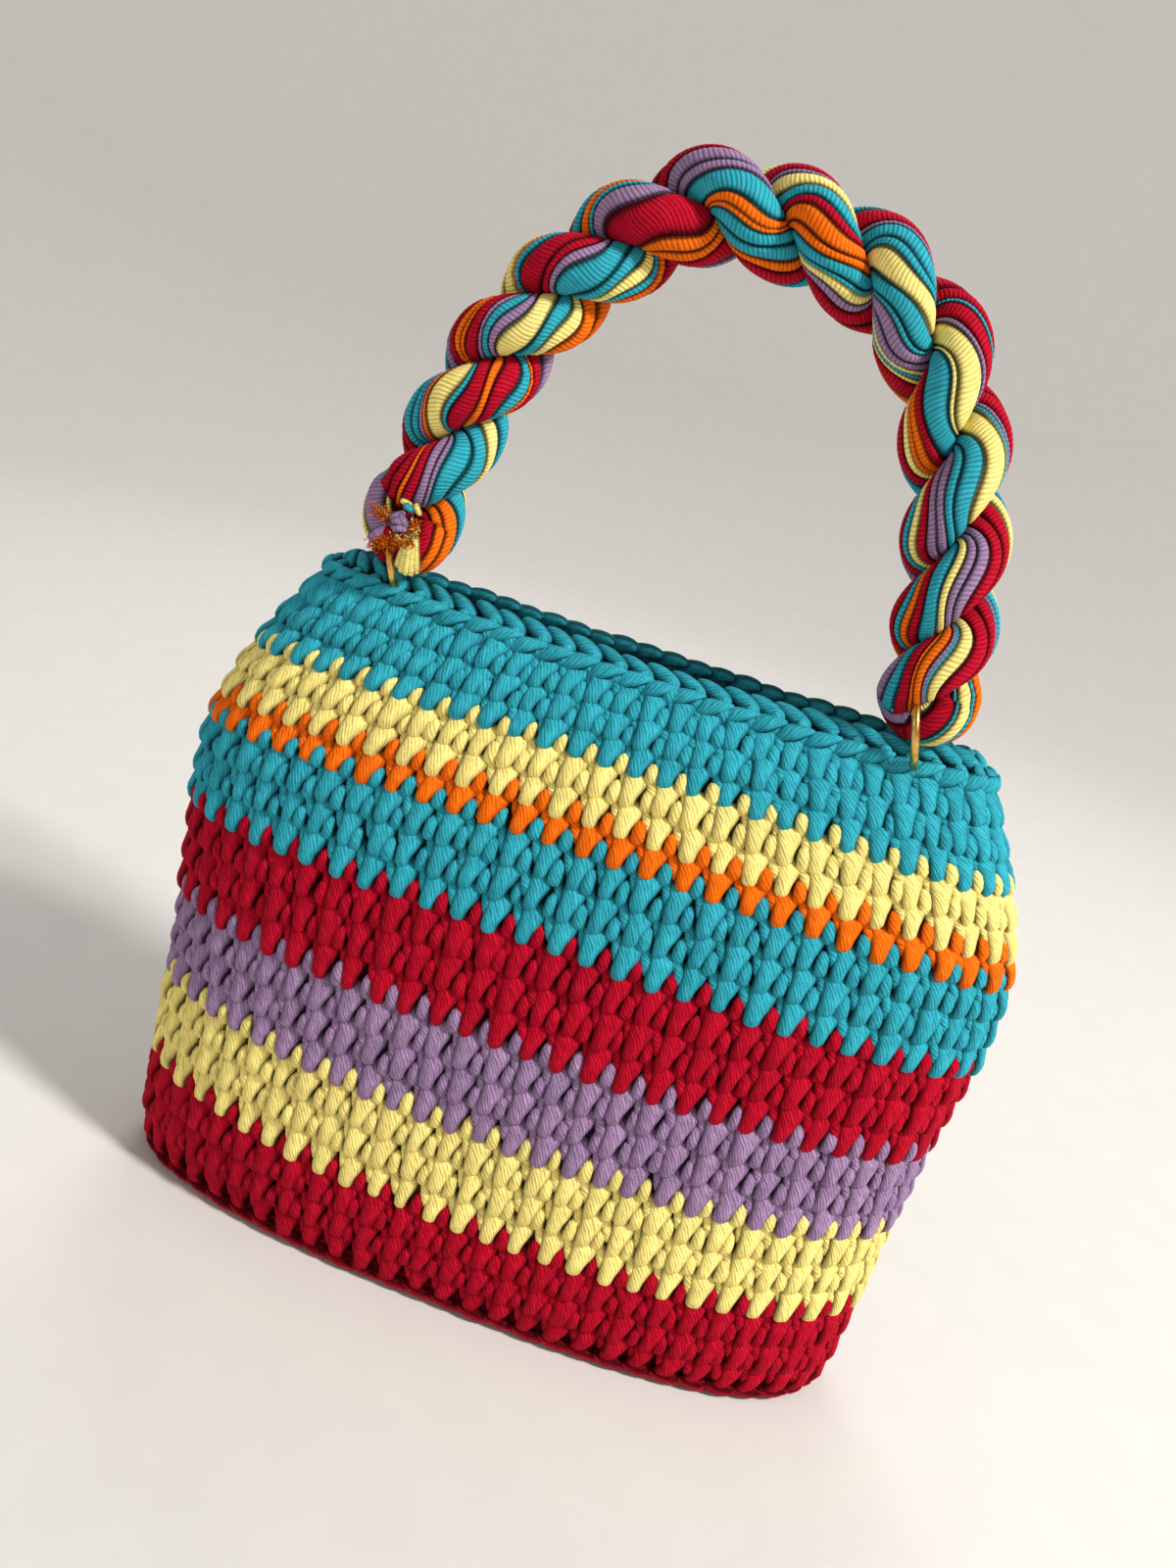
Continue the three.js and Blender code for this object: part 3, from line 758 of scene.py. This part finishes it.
def turn_letters(strand, number):
    """The yarns of one half turn of a strand: odd numbers show in front, even ones behind."""
    if number == 0 and strand == 1:
        return LEFT_HIDDEN_END
    if number % 2 == 0:
        return BACK_TURNS[(number // 2 + 2 * strand) % len(BACK_TURNS)]
    place = number - 1 + strand
    if place < 0:
        return LEFT_INNER_END
    if place >= len(FRONT_TURNS):
        return RIGHT_END
    return FRONT_TURNS[place]


def turn_pattern(strand, facing, at_end):
    """Colour, place across its own yarn, breadth, number and middle of the yarn, for points of a
    strand that face outwards where the strand has gone round the rope by the angle facing."""
    number = np.floor(facing / np.pi).astype(int)
    place = (facing / np.pi - number - TURN_GAP) / TURN_WIDTH
    result = np.zeros((5,) + facing.shape)
    for turn in np.unique(number):
        for end in (False, True):
            chosen = (number == turn) & (at_end == end)
            use_end = end and strand == 0 and turn == 1
            edges, colours = turn_layout(LEFT_END if use_end else turn_letters(strand, turn))
            which = np.searchsorted(edges, place[chosen], side="right") - 1
            which = np.clip(which, 0, len(colours) - 1)
            span = edges[which + 1] - edges[which]
            middle = (edges[which + 1] + edges[which]) / 2
            values = (colours[which], (place[chosen] - edges[which]) / span, span,
                      which + MOST_YARNS * (turn + 2 + MOST_TURNS * strand),
                      np.pi * (turn + TURN_GAP + TURN_WIDTH * middle))
            for row, value in zip(result, values):
                row[chosen] = value
    return result


def handle_line():
    """The handle's middle line with its sway, and the direction into the arch along it."""
    rise = HANDLE_RISE - (HANDLE_FOOT - BAG_HEIGHT)
    places = np.stack([HANDLE_SIDES * HANDLE_SPAN / 2, np.full(len(HANDLE_SIDES), HANDLE_Y),
                       HANDLE_FOOT + HANDLE_RISES * rise], axis=-1)
    line = smooth_line(places, LINE_STATIONS)
    inward = unit(np.cross(ACROSS, np.gradient(line, axis=0)))
    sway = np.interp(np.linspace(0, 1, LINE_STATIONS), SWAY_SHARES, SWAY)
    sway = np.pad(sway, SWAY_BLUR // 2, mode="edge")
    sway = np.convolve(sway, np.full(SWAY_BLUR, 1 / SWAY_BLUR), "valid")
    line = line - inward * sway[:, None]
    return line, unit(np.cross(ACROSS, np.gradient(line, axis=0)))


def handle_lay():
    """Angles by which the strands go round the rope and the yarns turn back along the handle, and
    tables of the first and of their sum, which go on for a turn past both ends."""
    share = np.linspace(0, 1, LINE_STATIONS)
    drift = share * (1 - share) * sum(c * share ** k for k, c in enumerate(LAY_DRIFT))
    lay = np.pi * (LAY_HALF_TURNS * share + drift)
    rates = np.interp(share, COUNTER_SHARES, COUNTER_TURNS)
    counter = np.concatenate([[0], np.cumsum((rates[1:] + rates[:-1]) / 2 * np.diff(lay))])
    lay_table = np.concatenate([[-2 * np.pi], lay, [lay[-1] + 2 * np.pi]])
    counter_table = np.concatenate([[-2 * np.pi * rates[0]], counter,
                                    [counter[-1] + 2 * np.pi * rates[-1]]])
    return lay, counter, lay_table, lay_table + counter_table


def fold(foot, start, end, count):
    """Points of the half circle in which a strand turns round below a foot of the handle."""
    angle = np.pi * np.linspace(start, end, count + 2)[1:-1]
    return foot + np.stack([LAY_RADIUS * np.cos(angle), -FOLD_SWAY * np.sin(2 * angle),
                            -FOLD_DEPTH * np.sin(angle)], axis=-1)


def steady_frame(path):
    """Two directions square to a path and to each other that don't twist along it."""
    tangent = unit(np.gradient(path, axis=0))
    axes = [unit(np.cross(tangent[0], [0.0, 1.0, 0.2]))]
    for t in tangent[1:]:
        moved = axes[-1] - t * np.dot(axes[-1], t)
        axes.append(moved / np.linalg.norm(moved))
    first = np.array(axes)
    return first, np.cross(tangent, first)


def mean_rate(values, places):
    """How fast values change from the first of the places to the last."""
    return (values[-1] - values[0]) / (places[-1] - places[0])


def handle_part():
    """Both strands of the rope as one tube: up the handle, round the right fold and back."""
    line, inward = handle_line()
    lay, counter, lay_table, total_table = handle_lay()
    paths = {}
    guides = {}
    for strand, start in ((1, 0.0), (0, np.pi)):
        phase = (start + lay)[:, None]
        paths[strand] = line + LAY_RADIUS * (np.cos(phase) * inward + np.sin(phase) * ACROSS)
        guides[strand] = np.cos(-counter)[:, None] * inward + np.sin(-counter)[:, None] * ACROSS
    left = line[0]
    start_fold = np.concatenate([[left + [SEWN_GAP, 0, -FOLD_DEPTH]], fold(left, 0.5, 0, 10)])
    turn_fold = fold(line[-1], 1, 0, 24)
    end_fold = np.concatenate([fold(left, 1, 0.5, 10), [left + [-SEWN_GAP, 0, -FOLD_DEPTH]]])
    path = np.concatenate([start_fold, paths[1], turn_fold, paths[0][::-1], end_fold])

    # For each station of the path: its strand, its station along the handle, and the length so far
    count = len(line)
    first = len(start_fold)
    second = first + count + len(turn_fold)
    middle = first + count + len(turn_fold) // 2
    index = np.arange(len(path))
    on_first = (index >= first) & (index < first + count)
    on_second = (index >= second) & (index < second + count)
    on_line = on_first | on_second
    strand = np.where(index < middle, 1, 0)
    along = np.where(index < middle, index - first, count - 1 - (index - second))
    along = np.clip(along, 0, count - 1)
    share = np.linspace(0, 1, count)[along]
    steps = np.linalg.norm(np.diff(path, axis=0), axis=1)
    length = np.concatenate([[0], np.cumsum(steps)])

    # The turn of the yarns in a frame that doesn't twist along the path
    e1, e2 = steady_frame(path)
    angles = {}
    for number, rows, guide in ((1, on_first, guides[1]), (0, on_second, guides[0][::-1])):
        turned = np.arctan2(np.sum(guide * e2[rows], axis=1), np.sum(guide * e1[rows], axis=1))
        angles[number] = np.unwrap(turned)
    last = first + count - 1
    final = second + count - 1
    near = END_STATIONS
    fold_rate = mean_rate(angles[1][-near:], length[on_first][-near:])
    shift = angles[1][-1] + fold_rate * (length[second] - length[last]) - angles[0][0]
    turn = np.interp(index, index[on_line], np.concatenate([angles[1], angles[0] + shift]))
    start_rate = mean_rate(angles[1][:near], length[on_first][:near])
    end_rate = mean_rate(angles[0][-near:], length[on_second][-near:])
    turn[:first] = turn[first] + start_rate * (length[:first] - length[first])
    turn[final + 1:] = turn[final] + end_rate * (length[final + 1:] - length[final])

    # Directions out of the strand, and which yarn lies there
    theta = 2 * np.pi * np.arange(STRAND_COLUMNS) / STRAND_COLUMNS
    sense = np.where(strand == 1, 1.0, -1.0)[:, None]
    full = turn[:, None] + sense * theta
    direction = np.cos(full)[..., None] * e1[:, None] + np.sin(full)[..., None] * e2[:, None]
    own = theta + np.where(strand == 1, 0.0, -shift)[:, None]
    origin = np.where(strand == 1, 0.0, np.pi)[:, None]
    total = origin + (lay + counter)[along][:, None]
    at_end = np.broadcast_to(((strand == 0) & (share < SEAM_SHARE))[:, None], full.shape)

    def patterns(offset):
        angle = own + offset
        angle = angle - 2 * np.pi * np.round((angle - total) / (2 * np.pi))
        facing = origin + np.interp(angle - origin, total_table, lay_table)
        result = np.zeros((5,) + full.shape)
        for s in (0, 1):
            rows = strand == s
            result[:, rows] = turn_pattern(s, facing[rows], at_end[rows])
        result[4] = angle - origin - np.interp(result[4] - origin, lay_table, total_table)
        return result

    _, within, breadth, _, _ = patterns(0.0)
    colour, _, _, yarn, aside = patterns(np.pi / STRAND_COLUMNS)

    # The surface: yarns with grooves between them, flattened where the strands press together
    profile = 1 - np.abs(2 * within - 1) ** 4
    groove = np.minimum(GROOVE_DEPTH, breadth * GROOVE_SHARE)
    centre = np.zeros_like(path)
    centre[on_first] = line
    centre[on_second] = line[::-1]
    axis_out = np.zeros_like(path)
    axis_out[on_line] = unit(path[on_line] - centre[on_line])
    facing_out = np.sum(direction * axis_out[:, None], axis=-1)
    fade = np.clip(np.minimum(share, 1 - share) / FLATTENING_FADE, 0, 1)[:, None]
    swelling = np.where(on_line[:, None], FLATTENING * (1 - facing_out ** 2) * fade, 0.0)
    height = path[:, 2] - (HANDLE_FOOT - FOLD_DEPTH)
    fullness = np.clip(height / (2 * STRAND_RADIUS), 0, 1)
    fullness = FOLD_FULLNESS + (1 - FOLD_FULLNESS) * fullness ** 2 * (3 - 2 * fullness)
    seam = np.where(strand == 0, np.exp(-((share - SEAM_SHARE) / SEAM_WIDTH) ** 2), 0.0)
    radius = STRAND_RADIUS * (fullness - SEAM_DEPTH * seam)[:, None]
    radius = radius + swelling + groove * (profile - 0.75)
    from_end = np.minimum(length, length[-1] - length)
    radius *= np.sqrt(1 - (1 - np.clip(from_end / END_ROUND, 0.02, 1)) ** 2)[:, None]
    points = path[:, None] + direction * radius[..., None]

    # Texture places: the first coordinate runs along the yarns, so ribs across it cross them
    slope = STRAND_RADIUS * np.gradient(turn, length)
    stretch = np.sqrt(1 + slope ** 2)
    run = np.concatenate([[0], np.cumsum((stretch[1:] + stretch[:-1]) / 2 * steps)])
    lean = slope / stretch * sense[:, 0] * STRAND_RADIUS
    rings = np.arange(len(path) - 1)
    i, j = [a.ravel() for a in np.meshgrid(rings, np.arange(STRAND_COLUMNS), indexing="ij")]
    jitter = random.uniform(0, 0.02, YARN_NUMBERS)[yarn[i, j].astype(int)]
    low_side = aside[i, j] - np.pi / STRAND_COLUMNS
    high_side = aside[i, j] + np.pi / STRAND_COLUMNS
    corner_u = np.stack([run[i] + lean[i] * low_side,
                         run[i] + lean[i] * high_side,
                         run[i + 1] + lean[i + 1] * high_side,
                         run[i + 1] + lean[i + 1] * low_side], axis=-1)
    corner_v = np.stack([low_side, high_side, high_side, low_side], axis=-1)
    corner_v = STRAND_RADIUS / stretch[i][:, None] * corner_v
    uv = np.stack([corner_u + jitter[:, None], corner_v + jitter[:, None]], axis=-1)
    near_ring = i * STRAND_COLUMNS
    far_ring = near_ring + STRAND_COLUMNS
    k = (j + 1) % STRAND_COLUMNS
    quads = np.stack([near_ring + j, near_ring + k, far_ring + k, far_ring + j], axis=-1)
    flip = strand[i] == 0
    quads = np.where(flip[:, None], quads[:, ::-1], quads)
    uv = np.where(flip[:, None, None], uv[:, ::-1], uv)
    return {
        "verts": points.reshape(-1, 3),
        "quads": quads,
        "tris": np.zeros((0, 3), int),
        "quad_uv": uv.reshape(-1, 2),
        "tri_uv": np.zeros((0, 2)),
        "tint": np.full(len(path) * STRAND_COLUMNS, 0.5),
        # Painted shade, darker towards the grooves between the yarns
        "painted_shade_lift": (1.3 * profile - 0.3).ravel(),
        "material": colour[i, j].astype(int),
    }


HANDLE_COLOURS = ("red", "orange", "yellow", "turquoise", "lilac")
HANDLE_YARNS = [yarn_material("handle_" + name, COLOURS[name], 0.0, 0.00115, 0.75, 0.4, 0.3)
                for name in HANDLE_COLOURS]
make_piece("handle_strands", [handle_part()], HANDLE_YARNS, ["handle_rope"])


# The sewn yarn ends

# Strips of yarn about the knot: the number of the colour, the two ends in millimetres across and
# up from the handle's left foot, how far out they stand, the half widths of both ends and the
# half thickness
KNOT_STRIPS = [
    (4, (-1.5, 0.9), (-7.0, -5.6), 15.0, (1.3, 2.1), 0.8),
    (4, (-1.6, 3.2), (2.6, 5.6), 16.0, (1.0, 1.5), 0.9),
    (4, (0.8, 5.4), (4.4, 2.2), 16.5, (1.5, 1.2), 0.8),
    (4, (-0.8, 2.6), (3.0, 3.2), 16.7, (1.0, 1.3), 0.8),
    (4, (-0.2, 0.4), (4.4, 1.4), 16.2, (1.4, 1.0), 0.9),
    (2, (4.4, 9.4), (6.6, 6.4), 14.0, (1.2, 0.9), 0.8),
    (3, (1.2, 8.0), (4.6, 6.8), 14.4, (1.3, 1.0), 0.7),
    (2, (-0.4, 9.0), (3.0, 8.4), 13.6, (1.0, 1.1), 0.8),
    (0, (-3.2, -0.4), (0.0, -2.4), 15.0, (1.6, 1.4), 0.9),
    (2, (4.4, 0.6), (2.9, -11.6), 12.6, (0.7, 1.4), 1.2),
    (2, (5.0, 0.6), (4.6, -12.8), 13.0, (0.8, 1.5), 1.2),
    (2, (5.6, 0.6), (6.3, -13.1), 13.2, (0.8, 1.5), 1.3),
    (2, (6.2, 0.6), (8.0, -12.8), 13.1, (0.8, 1.5), 1.2),
    (2, (6.8, 0.8), (9.6, -11.6), 12.8, (0.7, 1.4), 1.2),
]
# Frayed ends: the number of the colour, how many threads, the middle across and up, how far out
# it stands, and the spread across and up, in millimetres
FRAYS = [
    (1, 130, (-4.4, 4.0), 14.8, (2.4, 1.4)),
    (2, 45, (-3.8, 4.2), 14.6, (1.2, 0.8)),
    (1, 130, (-3.4, -5.6), 14.6, (3.0, 1.7)),
    (1, 130, (-1.6, -3.6), 15.0, (2.8, 1.2)),
    (1, 130, (2.8, -2.0), 15.2, (2.8, 0.8)),
    (2, 45, (3.2, -1.6), 15.2, (2.4, 0.8)),
    (2, 45, (6.6, 1.6), 15.2, (0.7, 1.9)),
    (1, 130, (6.2, 2.6), 15.2, (0.7, 1.6)),
]
THREAD_RADII = 0.00024 * np.array([1, 1, .95, .85, .7, .5])


def knot_parts():
    """The strips of yarn about the knot and the threads of its frayed ends."""
    foot = np.array([-HANDLE_SPAN / 2, HANDLE_Y, HANDLE_FOOT])
    parts = []
    samples = rounded_samples(10)
    for material, start, end, reach, half, thick in KNOT_STRIPS:
        first = np.array([start[0], -reach, start[1]])
        last = np.array([end[0], -reach + 0.6, end[1]])
        bow = np.array([0, -0.9, 0.5]) * np.sin(np.pi * samples)[:, None]
        points = foot + (first + samples[:, None] * (last - first) + bow) / 1000
        normals = np.tile(np.array([0.0, -1.0, 0.0]), (1, len(samples), 1))
        full = end_caps(samples, 0.2, 0.2)
        width = (half[0] + samples * (half[1] - half[0])) / 1000 * full
        parts.append(sweep(points[None], normals, width[None], thick / 1000 * full[None],
                           12, np.array([0.5]), material, 0.9))
    stations = len(THREAD_RADII)
    for material, number, middle, reach, spread in FRAYS:
        roots = np.stack([random.normal(0, spread[0] * 0.6, number), random.normal(0, 0.4, number),
                          random.normal(0, spread[1] * 0.6, number)], axis=-1)
        heads = np.stack([random.normal(0, 1.0, number), random.uniform(-1.3, -0.1, number),
                          random.normal(-0.2, 0.9, number)], axis=-1)
        curl = random.normal(0, 0.4, (number, 3))
        t = np.linspace(0, 1, stations)[:, None]
        points = np.array([middle[0], -reach, middle[1]]) + roots[:, None] + heads[:, None] * t \
            + curl[:, None] * np.sin(np.pi * t)
        half = np.tile(THREAD_RADII, (number, 1))
        normals = np.tile(np.array([0.05, -1.0, 0.02]), (number, stations, 1))
        tint = random.uniform(0, 1, number)
        parts.append(sweep(foot + points / 1000, normals, half, half, 5, tint, material, 1.0))
    return parts


KNOT_YARNS = [yarn_material("knot_" + name, COLOURS[name], 0.0, 0.0008, 0.35, 0.4, 0.6)
              for name in HANDLE_COLOURS]
make_piece("knot_tufts", knot_parts(), KNOT_YARNS, ["yarn_knot"])


# The rings

RING_WIRE = 0.0027
RING_LEAN = math.radians(18)
RING_COLUMNS = 14
RING_STATIONS = 56
# Each ring: its turn about the upright, its radius, and how far it lies from the solid ring
RINGS = [
    ("ring_left", math.radians(10), 0.0094, (-0.0016, 0.0026, 0.0)),
    ("ring_right", math.radians(-4), 0.0114, (0.0, 0.0016, 0.0)),
]


def ring_part(name, ring_turn, radius, nudge):
    """A ring of round wire at the middle of the solid ring's box."""
    low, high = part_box(name)
    centre = (np.array(low) + np.array(high)) / 2 + nudge
    turn = 2 * np.pi * np.arange(RING_STATIONS) / RING_STATIONS
    round_angle = 2 * np.pi * np.arange(RING_COLUMNS) / RING_COLUMNS
    deep_axis = np.array([-math.sin(ring_turn), math.cos(ring_turn), 0.0])
    up_axis = np.array([-math.sin(RING_LEAN), 0.0, math.cos(RING_LEAN)])
    up_axis = unit(up_axis - deep_axis * np.dot(up_axis, deep_axis))
    side_axis = np.cross(deep_axis, up_axis)
    spokes = deep_axis * np.cos(turn)[:, None] + up_axis * np.sin(turn)[:, None]
    points = centre + spokes[:, None] * (radius + RING_WIRE / 2 * np.cos(round_angle)[:, None]) \
        + side_axis * (RING_WIRE / 2 * np.sin(round_angle))[:, None]
    return grid(points, (0.001, 0.001))


brass = brass_material()
for ring_name, *ring_values in RINGS:
    make_piece(ring_name + "_wire", [ring_part(ring_name, *ring_values)], [brass],
               [ring_name])


# Floor, light and camera

# The floor: radii of its flat part, the radius of the curve at its edge, the heights of the wall
FLOOR_RADII = (0.3, 0.6, 0.9, 1.2, 1.5)
FLOOR_CURVE = 1.2
WALL_HEIGHTS = (2.0, 3.2)
FLOOR_SPOKES = 96


def studio_floor():
    """A flat round floor whose edge curves up into a pale wall all round."""
    edge = FLOOR_RADII[-1]
    profile = [(r, 0.0) for r in FLOOR_RADII]
    profile += [(edge + FLOOR_CURVE * math.sin(a), FLOOR_CURVE - FLOOR_CURVE * math.cos(a))
                for a in np.linspace(0.1, math.pi / 2, 14)]
    profile += [(edge + FLOOR_CURVE, z) for z in WALL_HEIGHTS]
    angle = 2 * np.pi * np.arange(FLOOR_SPOKES) / FLOOR_SPOKES
    verts = [(0.0, 0.0, 0.0)]
    for r, z in profile:
        verts += [(r * math.cos(a), r * math.sin(a), z) for a in angle]
    faces = [(0, 1 + k, 1 + (k + 1) % FLOOR_SPOKES) for k in range(FLOOR_SPOKES)]
    for level in range(len(profile) - 1):
        low = 1 + level * FLOOR_SPOKES
        high = low + FLOOR_SPOKES
        for k in range(FLOOR_SPOKES):
            after = (k + 1) % FLOOR_SPOKES
            faces.append((low + k, high + k, high + after, low + after))
    mesh = bpy.data.meshes.new("floor")
    mesh.from_pydata(verts, [], faces)
    mesh.polygons.foreach_set("use_smooth", np.ones(len(faces), bool))
    mesh.materials.append(floor_material())
    floor = bpy.data.objects.new("floor", mesh)
    bpy.context.scene.collection.objects.link(floor)


studio_floor()

world = bpy.data.worlds.new("studio")
bpy.context.scene.world = world
world.use_nodes = True
background = world.node_tree.nodes["Background"]
background.inputs["Color"].default_value = (0.92, 0.95, 1.0, 1.0)
background.inputs["Strength"].default_value = 0.36

# Where the lights are turned to
LIGHT_AIM = Vector((0, 0, 0.18))


def area_light(name, place, size, energy, colour):
    """A round soft light turned to the bag."""
    data = bpy.data.lights.new(name, "AREA")
    data.shape = "DISK"
    data.size = size
    data.energy = energy
    data.color = colour
    light = bpy.data.objects.new(name, data)
    light.location = place
    light.rotation_euler = (LIGHT_AIM - Vector(place)).to_track_quat("-Z", "Y").to_euler()
    bpy.context.scene.collection.objects.link(light)


area_light("key", (1.60, -0.70, 1.82), 0.36, 66, (1.0, 0.975, 0.94))
area_light("fill", (-1.2, -1.0, 0.8), 1.2, 2, (0.93, 0.96, 1.0))
area_light("back", (-0.3, 1.2, 1.4), 1.0, 9, (1.0, 0.98, 0.95))
bpy.context.scene.view_settings.view_transform = "Standard"

# Directions of the camera: backwards, and to the right and up in the picture
away = Vector((math.sin(CAMERA_AZIMUTH) * math.cos(CAMERA_ELEVATION),
               -math.cos(CAMERA_AZIMUTH) * math.cos(CAMERA_ELEVATION), math.sin(CAMERA_ELEVATION)))
level_right = Vector((math.cos(CAMERA_AZIMUTH), math.sin(CAMERA_AZIMUTH), 0))
level_up = away.cross(level_right)
camera_right = level_right * math.cos(CAMERA_ROLL) + level_up * math.sin(CAMERA_ROLL)
camera_up = level_up * math.cos(CAMERA_ROLL) - level_right * math.sin(CAMERA_ROLL)
camera_data = bpy.data.cameras.new("camera")
camera_data.lens = CAMERA_LENS
camera_data.sensor_width = CAMERA_SENSOR
camera_data.clip_start = CAMERA_NEAREST
camera = bpy.data.objects.new("camera", camera_data)
camera.matrix_world = Matrix.Translation(AIM + away * CAMERA_DISTANCE) \
    @ Matrix((camera_right, camera_up, away)).transposed().to_4x4()
bpy.context.scene.collection.objects.link(camera)
bpy.context.scene.camera = camera

bpy.context.view_layer.update()
